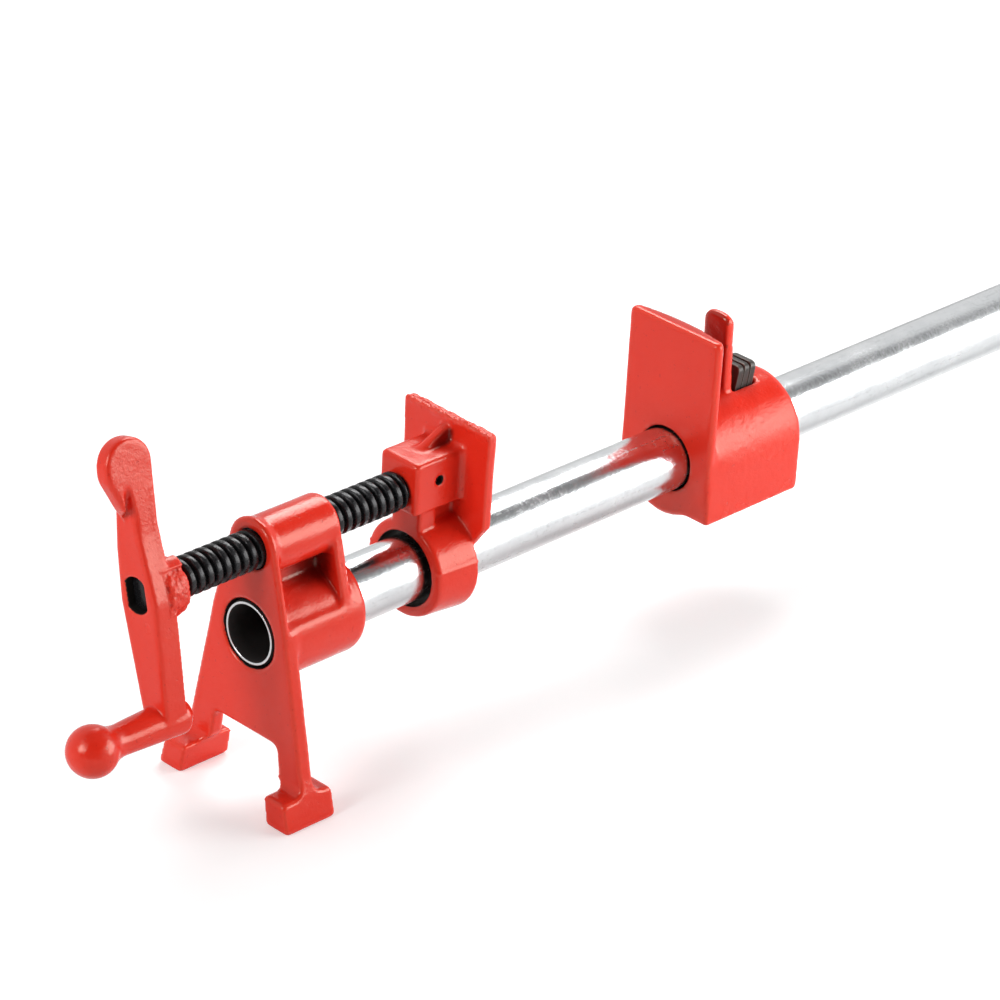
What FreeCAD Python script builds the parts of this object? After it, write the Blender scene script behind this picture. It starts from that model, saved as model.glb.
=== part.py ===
import FreeCAD, Part
import math
import os

# Woodworking pipe clamp on a 3/4 inch pipe. Millimetres.
#
# Everything is drawn in the head's own frame: +X runs along the pipe from the head to the
# tail stop, X = 0 is the head's front face, and Z = 0 is the pipe's axis. Each finished
# piece is then moved to the part's frame, whose origin is on the floor, below the middle
# of the clamp's length.

Vec = FreeCAD.Vector

# --- the bought-in sizes that everything else is fitted to ---------------------------
PIPE_R = 26.67 / 2            # 3/4 inch pipe, outside
PIPE_BORE_R = 22.8 / 2        # thin-walled tube of that outside size
PIPE_START = 0.5              # the pipe ends just inside the head's front face
PIPE_LENGTH = 610.0           # 24 inch length
PIPE_THREAD_R = 13.15         # crest of the taper thread on the pipe's free end
PIPE_THREAD_LENGTH = 19.0
SCREW_R = 8.0                 # 16 mm trapezoidal screw

# --- the clamp's main stations --------------------------------------------------------
SCREW_Z = 36.5                # screw axis above the pipe's axis
FLOOR_Z = -69.0               # soles of the feet below the pipe's axis
JAW_TOP_Z = 60.2              # both jaws reach this far above the pipe
RUN = 0.06                    # radial running clearance of the screw

# --- head ----------------------------------------------------------------------------
LEG_T = 6.4                   # thickness of the A-shaped front plate
PLATE_TOP_R = 12.6
PLATE_MID_R = 21.2
SCREW_BOSS_R = 11.6
SCREW_BOSS_END = 36.2
PIPE_BOSS_R = 20.5
PIPE_BOSS_END = 44.5
REAR_WALL_T = 4.6
POCKET_FRONT = 3.4            # front wall of the side pockets
POCKET_FLOOR_R = 19.4         # the pockets' core leaves a ledge along the pipe boss
LEDGE_Z = 8.8
WEB_T = 6.0                   # wall that parts the two pockets
LEG_FOOT_HALF = 33.4          # outside of a leg where it meets its foot
ARCH_Z = -41.0
ARCH_HALF = 17.6
LEG_INNER_HALF = 19.2         # inside of a leg just above its foot
FOOT_TOP_Z = FLOOR_Z + 12.2
FOOT_FRONT = -10.3
FOOT_BACK = 14.5

# --- sliding jaw -----------------------------------------------------------------------
RING_FRONT = 81.3
RING_BACK = 101.9
RING_FRONT_R = 20.1           # the ring swells towards the jaw by its casting draft
RING_BACK_R = 21.8
RING_BORE_R = 15.6
JAW_BACK = 101.3              # rough side of the jaw plate
JAW_FACE = 105.6              # side that meets the work
JAW_HALF = 23.6
JAW_LOW_HALF = 22.8
BOX_FRONT = 76.2              # socket block that holds the screw's nose
BOX_HALF = 10.2
BOX_BOTTOM = SCREW_Z - 8.2
BOX_TOP = SCREW_Z + 13.6
NECK_HALF = 8.0
NECK_FRONT = RING_FRONT
NECK_BACK = 90.6              # behind this the neck is waisted, up to the jaw plate
NOSE_R = 6.0
NOSE_END = 95.8
PIN_R = 1.8
PIN_X = 88.9
PIN_Z = SCREW_Z + 3.9
GROOVE_R = PIN_Z - SCREW_Z - PIN_R - 0.1

# --- crank ------------------------------------------------------------------------------
CRANK_FRONT = -57.0
CRANK_T = 10.2
COLLAR_END = -39.4
CRANK_TURN = 14.0             # degrees from upright at rest
DRIVE_R = 7.2                 # screw's end: a round with two flats
DRIVE_HALF = 5.2
DRIVE_SINK = 3.4              # it ends this far below the arm's front
DRIVE_FIT = 0.05
KNOB_U = -50.7                # grip axis, measured along the arm from the screw
BALL_X = -87.3
BALL_R = 10.2
WING_TOP_U = 61.6
WING_V = -3.4
WING_T = 7.2

# --- tail stop ----------------------------------------------------------------------------
TAIL_FACE = 229.0
TAIL_EDGE_T = 4.0
TAIL_MID_T = 6.8
TAIL_HALF = 24.5
BARREL_R = 24.7
BARREL_LOW = -22.0            # the barrel's walls hang straight down to here
BARREL_END = 286.0
TAIL_BORE_R = 13.95
CAVITY_R = 21.4
CAVITY_FRONT = 251.8
CAVITY_BACK = 281.4
TAB_HALF = 6.7
TAB_TOP_Z = 58.4
SLOT_HALF = 6.9
SLOT_FRONT = 260.5
SLOT_BACK = 274.8

# --- clutch: three plates that rock on a rounded rib and bite the pipe when they lean ------
CLUTCH_PLATES = 3
CLUTCH_T = 3.2
CLUTCH_GAP = 0.3
CLUTCH_LEAN = 11.0            # degrees from square at rest, biting
CLUTCH_R = 20.2
TONGUE_HALF = 6.5
TONGUE_TOP_Z = 32.8
RIB_R = 1.5
RIB_X = 259.6
RIB_Z = 17.5
RIB_CLEAR = 0.1
SPRING_R = 16.7
SPRING_WIRE = 1.7             # square wire
SPRING_TURNS = 2

# --- the part's frame -----------------------------------------------------------------------
MIDDLE_X = (BALL_X - BALL_R + PIPE_LENGTH) / 2


# ------------------------------------------------------------------------------------------
# drawing helpers
# ------------------------------------------------------------------------------------------
def rounded_wire(corners):
    """Closed wire through corners [(point, radius), ...], each rounded by a tangent arc."""
    count = len(corners)
    ends = []
    edges = []
    for i, (here, radius) in enumerate(corners):
        before = corners[i - 1][0]
        after = corners[(i + 1) % count][0]
        to_before = (before - here).normalize()
        to_after = (after - here).normalize()
        if radius == 0:
            ends.append((here, here))
            continue
        half = to_before.getAngle(to_after) / 2
        run = radius / math.tan(half)
        start = here + to_before * run
        end = here + to_after * run
        inward = (to_before + to_after).normalize()
        middle = here + inward * (radius / math.sin(half) - radius)
        edges.append(Part.Arc(start, middle, end).toShape())
        ends.append((start, end))
    for i in range(count):
        start = ends[i][1]
        end = ends[(i + 1) % count][0]
        if start.distanceToPoint(end) > 1e-6:
            edges.append(Part.LineSegment(start, end).toShape())
    return Part.Wire(Part.__sortEdges__(edges))


def slab_x(outline, x0, x1):
    """Plate across X, from its (y, z, corner radius) outline."""
    wire = rounded_wire([(Vec(x0, y, z), r) for y, z, r in outline])
    return Part.Face(wire).extrude(Vec(x1 - x0, 0, 0))


def slab_y(outline, y0, y1):
    """Plate across Y, from its (x, z, corner radius) outline."""
    wire = rounded_wire([(Vec(x, y0, z), r) for x, z, r in outline])
    return Part.Face(wire).extrude(Vec(0, y1 - y0, 0))


def rod_x(x0, x1, radius, z=0.0):
    return Part.makeCylinder(radius, x1 - x0, Vec(x0, 0, z), Vec(1, 0, 0))


def cone_x(x0, x1, r0, r1, z=0.0):
    return Part.makeCone(r0, r1, x1 - x0, Vec(x0, 0, z), Vec(1, 0, 0))


def block(x0, x1, y0, y1, z0, z1):
    return Part.makeBox(x1 - x0, y1 - y0, z1 - z0, Vec(x0, y0, z0))


def hull_x(x0, x1, low, high):
    """Plate across X bounded by two circles (y, z, r) and their outer tangents."""
    (ya, za, ra), (yb, zb, rb) = low, high
    along = Vec(0, yb - ya, zb - za)
    gap = along.Length
    along.normalize()
    across = Vec(0, along.z, -along.y)
    sine = (ra - rb) / gap
    cosine = math.sqrt(1 - sine * sine)
    centre_a = Vec(x0, ya, za)
    centre_b = Vec(x0, yb, zb)
    right = across * cosine + along * sine
    left = across * -cosine + along * sine
    edges = [
        Part.LineSegment(centre_a + right * ra, centre_b + right * rb).toShape(),
        Part.Arc(centre_b + right * rb, centre_b + along * rb, centre_b + left * rb).toShape(),
        Part.LineSegment(centre_b + left * rb, centre_a + left * ra).toShape(),
        Part.Arc(centre_a + left * ra, centre_a - along * ra, centre_a + right * ra).toShape(),
    ]
    return Part.Face(Part.Wire(edges)).extrude(Vec(x1 - x0, 0, 0))


def both_sides(outline):
    """Outline of one side, y > 0 and listed downwards, joined to its mirror image."""
    return outline + [(-y, z, r) for y, z, r in reversed(outline)]


def chosen_edges(shape, wanted):
    """The edges whose middle point passes the test."""
    chosen = []
    for edge in shape.Edges:
        middle = edge.valueAt((edge.FirstParameter + edge.LastParameter) / 2)
        if wanted(middle, edge):
            chosen.append(edge)
    return chosen


def round_edges(shape, radius, wanted):
    return shape.makeFillet(radius, chosen_edges(shape, wanted))


def bevel_edges(shape, size, wanted):
    return shape.makeChamfer(size, chosen_edges(shape, wanted))


def near(value, target, slack=0.05):
    return abs(value - target) < slack


def fused(shapes):
    """One solid from overlapping ones, without the seams between coplanar faces."""
    whole = shapes[0].fuse(shapes[1:]).removeSplitter()
    return whole.Solids[0] if len(whole.Solids) == 1 else whole


# ------------------------------------------------------------------------------------------
# head: an A-shaped stand with two bosses, one for the screw and one for the pipe
# ------------------------------------------------------------------------------------------
def head_front_plate():
    upper = hull_x(0, LEG_T, (0, 0, PLATE_MID_R), (0, SCREW_Z, PLATE_TOP_R))
    legs = slab_x(both_sides([
        (PLATE_MID_R, 1.5, 0),
        (LEG_FOOT_HALF - 0.8, FOOT_TOP_Z + 2, 0),
        (LEG_INNER_HALF - 0.1, FOOT_TOP_Z + 4, 0),
        (ARCH_HALF, ARCH_Z, 3.5),
    ]), 0, LEG_T)
    return upper.fuse(legs)


def head_foot(side):
    """Sole block of one leg, with a hollow round where the leg rises out of it."""
    rise = FOOT_TOP_Z + 7
    side_view = slab_y([
        (FOOT_FRONT, FLOOR_Z, 1.0), (FOOT_BACK, FLOOR_Z, 1.0), (FOOT_BACK, FOOT_TOP_Z, 1.5),
        (LEG_T, FOOT_TOP_Z, 4.0), (LEG_T, rise, 0), (0, rise, 0), (0, FOOT_TOP_Z, 4.0),
        (FOOT_FRONT, FOOT_TOP_Z, 1.5),
    ], -40, 40)
    front_view = slab_x([
        (side * 24.7, FLOOR_Z, 1.0), (side * 36.9, FLOOR_Z, 1.0), (side * 33.9, FOOT_TOP_Z, 1.0),
        (side * 31.6, rise, 0), (side * (LEG_INNER_HALF - 0.3), rise, 0),
        (side * LEG_INNER_HALF, FOOT_TOP_Z + 3, 0), (side * 22.7, FOOT_TOP_Z, 3.0),
    ], FOOT_FRONT - 1, FOOT_BACK + 1)
    return side_view.common(front_view)


def head_rear_wall():
    wall = hull_x(SCREW_BOSS_END - REAR_WALL_T, SCREW_BOSS_END,
                  (0, 0, PIPE_BOSS_R - 0.2), (0, SCREW_Z, SCREW_BOSS_R - 0.4))
    web = block(LEG_T / 2, SCREW_BOSS_END - 1, -WEB_T / 2, WEB_T / 2, 5, SCREW_Z)
    return wall.fuse(web)


def make_head():
    pipe_boss = rod_x(0, PIPE_BOSS_END, PIPE_BOSS_R)
    pipe_boss = bevel_edges(pipe_boss, 2.6, lambda p, e: near(p.x, PIPE_BOSS_END) and e.Closed)
    pocket = block(POCKET_FRONT, SCREW_BOSS_END - REAR_WALL_T, -40, 40, LEDGE_Z, 40)
    pipe_boss = pipe_boss.cut(pocket.cut(rod_x(0, PIPE_BOSS_END, POCKET_FLOOR_R)))
    screw_boss = rod_x(0, SCREW_BOSS_END, SCREW_BOSS_R, SCREW_Z)
    screw_boss = bevel_edges(screw_boss, 1.0, lambda p, e: near(p.x, SCREW_BOSS_END) and e.Closed)
    plate = head_front_plate()
    thin = block(POCKET_FRONT, LEG_T + 1, -40, 40, 7.5, 60)
    plate = plate.cut(thin)
    body = fused([plate, pipe_boss, screw_boss, head_rear_wall(), head_foot(1), head_foot(-1)])
    body = body.cut(rod_x(-1, SCREW_BOSS_END + 1, SCREW_R + RUN, SCREW_Z))
    body = body.cut(rod_x(-1, PIPE_BOSS_END + 1, PIPE_R))
    body = body.cut(rod_x(-1, 4.0, PIPE_R + 0.85))
    return body


def make_pipe():
    plain_end = PIPE_LENGTH - PIPE_THREAD_LENGTH
    bevel = 0.9
    near_bevel = 0.5
    outside = fused([
        cone_x(PIPE_START, PIPE_START + near_bevel, PIPE_R - near_bevel, PIPE_R),
        rod_x(PIPE_START + near_bevel, plain_end, PIPE_R),
        rod_x(plain_end, PIPE_LENGTH - bevel, PIPE_THREAD_R),
        cone_x(PIPE_LENGTH - bevel, PIPE_LENGTH, PIPE_THREAD_R, PIPE_THREAD_R - bevel),
    ])
    reamed = cone_x(PIPE_START, PIPE_START + 0.7, PIPE_BORE_R + 0.7, PIPE_BORE_R)
    return outside.cut(rod_x(-1, PIPE_LENGTH + 1, PIPE_BORE_R)).cut(reamed)


# ------------------------------------------------------------------------------------------
# sliding jaw: a ring on the pipe, a socket block for the screw's nose, and the jaw plate
# ------------------------------------------------------------------------------------------
def jaw_plate():
    outline = both_sides([
        (JAW_HALF, JAW_TOP_Z, 1.5),
        (JAW_LOW_HALF, 19.4, 1.0),
        (18.4, 13.0, 1.0),
        (12.0, 4.0, 0),
    ])
    return slab_x(outline, JAW_BACK, JAW_FACE)


def jaw_socket_block():
    box = block(BOX_FRONT, JAW_BACK + 1, -BOX_HALF, BOX_HALF, BOX_BOTTOM, BOX_TOP)
    box = round_edges(box, 1.6, lambda p, e: p.z > BOX_BOTTOM + 1 and p.x < JAW_BACK
                      and (near(abs(p.y), BOX_HALF) or near(p.x, BOX_FRONT)))
    neck = block(NECK_FRONT, NECK_BACK, -NECK_HALF, NECK_HALF, 17, BOX_BOTTOM + 1)
    neck = round_edges(neck, 1.2, lambda p, e: near(abs(p.y), NECK_HALF) and near(p.z, (18 + BOX_BOTTOM) / 2))
    waist = block(NECK_BACK - 1, JAW_BACK + 1, -NECK_HALF + 3, NECK_HALF - 3, 17, BOX_BOTTOM + 1)
    rib = slab_y([(86.5, BOX_TOP - 1, 0), (JAW_BACK + 1, BOX_TOP - 1, 0), (JAW_BACK + 1, 57.0, 0),
                  (JAW_BACK - 1.5, 56.8, 1.5), (86.5, BOX_TOP + 0.4, 0)], -2.2, 2.2)
    return [box, neck, waist, rib]


def make_sliding_jaw():
    ring = cone_x(RING_FRONT, RING_BACK, RING_FRONT_R, RING_BACK_R)
    ring = bevel_edges(ring, 0.9, lambda p, e: e.Closed and (near(p.x, RING_FRONT) or near(p.x, RING_BACK)))
    body = fused([ring, jaw_plate()] + jaw_socket_block())
    body = bevel_edges(body, 1.9, lambda p, e: near(p.x, JAW_BACK) and near(abs(p.y), BOX_HALF)
                       and near(p.z, SCREW_Z + 3.5, 4.0))
    body = body.cut(rod_x(RING_FRONT - 1, JAW_FACE + 1, RING_BORE_R))
    body = body.cut(rod_x(BOX_FRONT - 1, NOSE_END + 0.2, NOSE_R + RUN, SCREW_Z))
    pin_hole = Part.makeCylinder(PIN_R, 4 * BOX_HALF, Vec(PIN_X, -2 * BOX_HALF, PIN_Z), Vec(0, 1, 0))
    body = body.cut(pin_hole)
    for side in (-1, 1):
        mouth = Part.makeCone(PIN_R, PIN_R + 0.6, 0.6, Vec(PIN_X, side * (BOX_HALF - 0.5), PIN_Z),
                              Vec(0, side, 0))
        body = body.cut(mouth)
    return body


def make_jaw_pin():
    """Slotted spring pin, sunk well below both sides of the block."""
    length = 2 * (BOX_HALF - 2.6)
    start = Vec(PIN_X, -length / 2, PIN_Z)
    pin = Part.makeCylinder(PIN_R, length, start, Vec(0, 1, 0))
    pin = pin.cut(Part.makeCylinder(PIN_R - 0.5, length, start, Vec(0, 1, 0)))
    slit = block(PIN_X - 0.3, PIN_X + 0.3, -length / 2, length / 2, PIN_Z, PIN_Z + 2 * PIN_R)
    return pin.cut(slit)


# ------------------------------------------------------------------------------------------
# screw spindle and crank
# ------------------------------------------------------------------------------------------
def drive_end(x0, x1, radius, half):
    """Round bar with two flats that face sideways before the crank is turned."""
    bar = rod_x(x0, x1, radius)
    return bar.common(block(x0, x1, -half, half, -radius, radius))


def turned_with_crank(shape):
    """From the crank's upright frame, axis at Z = 0, to the screw's axis and rest angle."""
    placed = shape.copy()
    placed.rotate(Vec(0, 0, 0), Vec(1, 0, 0), -CRANK_TURN)
    placed.translate(Vec(0, 0, SCREW_Z))
    return placed


def make_spindle():
    end = turned_with_crank(drive_end(CRANK_FRONT + DRIVE_SINK, COLLAR_END, DRIVE_R, DRIVE_HALF))
    shoulder = BOX_FRONT - 0.3
    bevel = 1.2
    pieces = [
        end,
        cone_x(COLLAR_END, COLLAR_END + bevel, SCREW_R - bevel, SCREW_R, SCREW_Z),
        rod_x(COLLAR_END + bevel, shoulder - bevel, SCREW_R, SCREW_Z),
        cone_x(shoulder - bevel, shoulder, SCREW_R, SCREW_R - bevel, SCREW_Z),
        rod_x(shoulder, NOSE_END - 0.8, NOSE_R, SCREW_Z),
        cone_x(NOSE_END - 0.8, NOSE_END, NOSE_R, NOSE_R - 0.8, SCREW_Z),
    ]
    body = fused(pieces)
    groove_half = PIN_R + 0.2
    groove = rod_x(PIN_X - groove_half, PIN_X + groove_half, NOSE_R + 1, SCREW_Z)
    groove = groove.cut(rod_x(PIN_X - groove_half, PIN_X + groove_half, GROOVE_R, SCREW_Z))
    return body.cut(groove)


def crank_arm():
    """Flat arm, widest just below the screw: tapers down to the grip and, in two steps, up
    into the thumb wing."""
    hub = (-0.6, -3.0, 9.9)
    shoulder = (0.0, 16.0, 7.7)
    back = CRANK_FRONT + CRANK_T
    lower = hull_x(CRANK_FRONT, back, (-0.4, KNOB_U + 1.5, 6.7), hub)
    middle = hull_x(CRANK_FRONT, back, hub, shoulder)
    upper = hull_x(CRANK_FRONT, back, shoulder, (-1.2, 44.0, 3.8))
    return fused([lower, middle, upper])


def crank_pad():
    """Flat raised on the collar's side, sloping away from the arm."""
    return slab_x([(-4.6, 11.8, 0), (-6.5, 11.5, 0), (-9.4, 8.6, 0), (-8.4, 7.4, 0),
                   (-4.0, 6.0, 0)], -50.8, COLLAR_END - 0.9)


def crank_wing():
    """Thumb wing: a plate on edge, standing out in front of the arm."""
    front = -66.6
    back = -44.6
    near_v = WING_V - WING_T / 2
    far_v = WING_V + WING_T / 2
    wing = slab_y([
        (front, WING_TOP_U, 10.4),
        (back, WING_TOP_U, 10.4),
        (back - 3.0, 8.0, 0),
        (-54.8, 8.0, 0),
        (-55.4, 26.4, 0),
        (-61.4, 35.4, 0),
        (front - 0.2, 47.4, 8.0),
    ], near_v, far_v)
    wing = bevel_edges(wing, 1.0, lambda p, e: near(abs(p.y - WING_V), WING_T / 2)
                       and (p.x < -62.5 or p.z > 48))
    notch = Part.makeLoft([
        Part.makePolygon([Vec(x, near_v - 0.5, u) for x, u in
                          ((-61.2, 33.0), (-60.6, 43.6), (-60.0, 45.0), (-58.6, 45.0), (-57.6, 43.4),
                           (-55.0, 26.0), (-61.2, 33.0))]),
        Part.makePolygon([Vec(x, far_v - 0.6, u) for x, u in
                          ((-58.4, 28.6), (-58.3, 29.2), (-58.1, 29.6), (-57.6, 29.6), (-57.2, 29.4),
                           (-57.0, 26.0), (-58.4, 28.6))]),
    ], True, True)
    return wing.cut(notch)


def crank_grip():
    """Ball knob on a waisted shank, revolved about the grip's axis."""
    neck_x = BALL_X + 13.5
    neck_r = 6.3
    leave = math.radians(52)
    ball_leave = Vec(BALL_X + BALL_R * math.cos(leave), 0, BALL_R * math.sin(leave))
    ball_mid = Vec(BALL_X + BALL_R * math.cos(math.radians(116)), 0, BALL_R * math.sin(math.radians(116)))
    elbow_r = 7.6
    elbow_x = -45.4
    elbow_back = -41.8
    waist = Vec((ball_leave.x + neck_x) / 2 - 0.2, 0, (ball_leave.z + neck_r) / 2 - 0.45)
    edges = [
        Part.Arc(Vec(BALL_X - BALL_R, 0, 0), ball_mid, ball_leave).toShape(),
        Part.Arc(ball_leave, waist, Vec(neck_x, 0, neck_r)).toShape(),
        Part.LineSegment(Vec(neck_x, 0, neck_r), Vec(elbow_x, 0, elbow_r)).toShape(),
        Part.LineSegment(Vec(elbow_x, 0, elbow_r), Vec(elbow_back, 0, elbow_r - 3.2)).toShape(),
        Part.LineSegment(Vec(elbow_back, 0, elbow_r - 3.2), Vec(elbow_back, 0, 0)).toShape(),
        Part.LineSegment(Vec(elbow_back, 0, 0), Vec(BALL_X - BALL_R, 0, 0)).toShape(),
    ]
    grip = Part.Face(Part.Wire(edges)).revolve(Vec(0, 0, 0), Vec(1, 0, 0), 360)
    grip.translate(Vec(0, 0, KNOB_U))
    return grip


def make_crank():
    arm = bevel_edges(crank_arm(), 0.9, lambda p, e: near(p.x, CRANK_FRONT) and p.z < 30)
    collar = cone_x(CRANK_FRONT + CRANK_T - 2, COLLAR_END, 11.8, 11.3, -1.1)
    collar = bevel_edges(collar, 1.1, lambda p, e: e.Closed and near(p.x, COLLAR_END))
    body = fused([arm, crank_wing(), collar, crank_pad(), crank_grip()])
    hole = drive_end(CRANK_FRONT - 12, COLLAR_END + 1, DRIVE_R + DRIVE_FIT, DRIVE_HALF + DRIVE_FIT)
    return turned_with_crank(body.cut(hole))


# ------------------------------------------------------------------------------------------
# tail stop: jaw plate and barrel in one casting, with the clutch inside the barrel
# ------------------------------------------------------------------------------------------
def tail_plate():
    """Jaw plate with a crowned back and a half-round lower end."""
    x_edge = TAIL_FACE + TAIL_EDGE_T
    low = -TAIL_HALF
    edges = [
        Part.LineSegment(Vec(x_edge, -TAIL_HALF, low), Vec(TAIL_FACE, -TAIL_HALF, low)).toShape(),
        Part.LineSegment(Vec(TAIL_FACE, -TAIL_HALF, low), Vec(TAIL_FACE, TAIL_HALF, low)).toShape(),
        Part.LineSegment(Vec(TAIL_FACE, TAIL_HALF, low), Vec(x_edge, TAIL_HALF, low)).toShape(),
        Part.Arc(Vec(x_edge, TAIL_HALF, low), Vec(TAIL_FACE + TAIL_MID_T, 0, low),
                 Vec(x_edge, -TAIL_HALF, low)).toShape(),
    ]
    crowned = Part.Face(Part.Wire(edges)).extrude(Vec(0, 0, JAW_TOP_Z - low))
    front_view = slab_x([
        (TAIL_HALF, JAW_TOP_Z, 2.0),
        (TAIL_HALF, low, TAIL_HALF - 0.1),
        (-TAIL_HALF, low, TAIL_HALF - 0.1),
        (-TAIL_HALF, JAW_TOP_Z, 2.0),
    ], TAIL_FACE - 1, TAIL_FACE + 12)
    return crowned.common(front_view)


def tail_tab():
    """Thumb tab that the clutch plates are squeezed against."""
    side_view = slab_y([
        (255.6, 20.0, 0), (260.4, 20.0, 0), (258.3, TAB_TOP_Z, 1.2), (254.4, TAB_TOP_Z, 1.2),
    ], -TAB_HALF, TAB_HALF)
    front_view = slab_x([
        (TAB_HALF, TAB_TOP_Z, 4.5), (TAB_HALF, 15, 0), (-TAB_HALF, 15, 0), (-TAB_HALF, TAB_TOP_Z, 4.5),
    ], 250, 265)
    return side_view.common(front_view)


def tail_rib():
    """Rounded rib inside the barrel's roof: the plates rock on it."""
    nose = Part.makeCylinder(RIB_R, 2 * TAB_HALF, Vec(RIB_X, -TAB_HALF, RIB_Z), Vec(0, 1, 0))
    stem = block(CAVITY_FRONT - 1, RIB_X, -TAB_HALF, TAB_HALF, RIB_Z - RIB_R, 23)
    return [nose, stem]


def arched(x0, x1, radius, low):
    """Slab across X, half round above the pipe's axis and straight-sided down to low."""
    dome = rod_x(x0, x1, radius)
    skirt = block(x0, x1, -radius, radius, low, 0)
    return dome.fuse(skirt)


def make_tail_stop():
    barrel = arched(TAIL_FACE + 1, BARREL_END, BARREL_R, BARREL_LOW).removeSplitter()
    barrel = bevel_edges(barrel, 1.7, lambda p, e: near(p.x, BARREL_END) and p.z > BARREL_LOW + 1)
    cavity = arched(CAVITY_FRONT, CAVITY_BACK, CAVITY_R, BARREL_LOW - 5)
    body = fused([barrel.cut(cavity), tail_plate(), tail_tab()] + tail_rib())
    slot = block(SLOT_FRONT, SLOT_BACK, -SLOT_HALF, SLOT_HALF, CAVITY_R - 4, BARREL_R + 1)
    body = body.cut(slot)
    return body.cut(rod_x(TAIL_FACE - 1, BARREL_END + 1, TAIL_BORE_R))


# ------------------------------------------------------------------------------------------
# clutch plates and their spring
# ------------------------------------------------------------------------------------------
def clutch_hole_radius():
    """The least hole that lets a plate reach its biting lean, plus a little freedom."""
    lean = math.radians(CLUTCH_LEAN)
    diameter = (2 * PIPE_R + CLUTCH_T * math.sin(lean)) / math.cos(lean)
    return diameter / 2 + 0.06


def clutch_pitch():
    """Spacing of the plates along the pipe: thickness and gap, seen at the lean."""
    return (CLUTCH_T + CLUTCH_GAP) / math.cos(math.radians(CLUTCH_LEAN))


def clutch_centre_x(number):
    """Where a plate's middle crosses the pipe's axis when the first leans on the rib."""
    lean = math.radians(CLUTCH_LEAN)
    first = RIB_X + (RIB_R + RIB_CLEAR + CLUTCH_T / 2) / math.cos(lean) - RIB_Z * math.tan(lean)
    return first + (number - 1) * clutch_pitch()


def make_clutch_plate(number):
    """Disc with a tongue, drawn square to the pipe and then leant back."""
    top = TONGUE_TOP_Z / math.cos(math.radians(CLUTCH_LEAN))
    half_t = CLUTCH_T / 2
    disc = rod_x(-half_t, half_t, CLUTCH_R)
    tongue = slab_x([(TONGUE_HALF, top, 2.4), (TONGUE_HALF, 0, 0), (-TONGUE_HALF, 0, 0),
                     (-TONGUE_HALF, top, 2.4)], -half_t, half_t)
    plate = fused([disc, tongue]).cut(rod_x(-half_t - 1, half_t + 1, clutch_hole_radius()))
    plate.rotate(Vec(0, 0, 0), Vec(0, 1, 0), CLUTCH_LEAN)
    plate.translate(Vec(clutch_centre_x(number), 0, 0))
    return plate


def coil(radius, wire, stations):
    """Square-wire coil round Z. Each half turn is a flat half ring that climbs from one
    station to the next; the half rings start at +X and -X by turns, so their ends meet."""
    halves = []
    for k in range(len(stations) - 1):
        side = 1 if k % 2 == 0 else -1
        start, end = stations[k], stations[k + 1]
        lean = math.degrees(math.atan((end - start) / 2 / radius))
        inner = side * radius - wire / 2
        section = Part.makePlane(wire, wire, Vec(inner, 0, wire / 2), Vec(0, 1, 0), Vec(1, 0, 0))
        half = section.revolve(Vec(0, 0, 0), Vec(0, 0, 1), 180)
        half.rotate(Vec(0, 0, 0), Vec(0, 1, 0), side * lean)
        half.translate(Vec(0, 0, (start + end) / 2))
        halves.append(half)
    return fused(halves)


def make_clutch_spring():
    """Coil spring round the pipe: its front turn leans with the last plate, its rear turn
    sits flat on the barrel's end wall, and the turns between fan out evenly."""
    lean = math.radians(CLUTCH_LEAN)
    last_face = clutch_centre_x(CLUTCH_PLATES) + CLUTCH_T / 2 / math.cos(lean)
    behind = SPRING_WIRE / 2 + 0.25
    back = CAVITY_BACK - SPRING_WIRE / 2 - 0.05
    stations = []
    for k in range(2 * SPRING_TURNS + 1):
        height = -SPRING_R if k % 2 == 0 else SPRING_R
        front = last_face + height * math.tan(lean) + behind
        stations.append(front + (back - front) * k / (2 * SPRING_TURNS))
    spring = coil(SPRING_R, SPRING_WIRE, stations)
    spring.rotate(Vec(0, 0, 0), Vec(0, 1, 0), 90)
    return spring


# ------------------------------------------------------------------------------------------
# build and write
# ------------------------------------------------------------------------------------------
def build():
    nodes = {
        "head_casting": make_head(),
        "pipe": make_pipe(),
        "sliding_jaw": make_sliding_jaw(),
        "jaw_pin": make_jaw_pin(),
        "spindle": make_spindle(),
        "crank_handle": make_crank(),
        "tail_stop": make_tail_stop(),
        "clutch_spring": make_clutch_spring(),
    }
    for number in range(1, CLUTCH_PLATES + 1):
        nodes[f"clutch_plate_{number}"] = make_clutch_plate(number)
    return nodes


def write(nodes):
    os.makedirs("parts", exist_ok=True)
    for name, shape in nodes.items():
        if len(shape.Solids) == 1:
            shape = shape.Solids[0]
        shape.translate(Vec(-MIDDLE_X, 0, -FLOOR_Z))
        shape.exportStep(f"parts/{name}.step")
        box = shape.BoundBox
        print(f"{name:16s} valid {shape.isValid()}  volume {shape.Volume:10.1f} mm3")
        print(f"    x {box.XMin:7.2f} {box.XMax:7.2f}  y {box.YMin:6.2f} {box.YMax:6.2f}"
              f"  z {box.ZMin:6.2f} {box.ZMax:6.2f}")


write(build())
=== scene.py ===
# %% [markdown]
# # A pipe clamp, dressed for its picture
#
# A pipe clamp is a length of plumber's pipe with two cast-iron jaws on it. The head stands
# on two feet and holds a screw with a crank. The screw pushes the sliding jaw, and the tail
# stop grips the pipe with three leaning plates, wherever it is put down.
#
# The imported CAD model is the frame: every solid is where it belongs, and each rides on the
# body that moves it. This lesson dresses that frame. The castings get a skin that can be
# roughened, the screw gets its thread, and each metal gets the finish it has in a workshop.

# %% Load the frame
import itertools
import math

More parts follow.
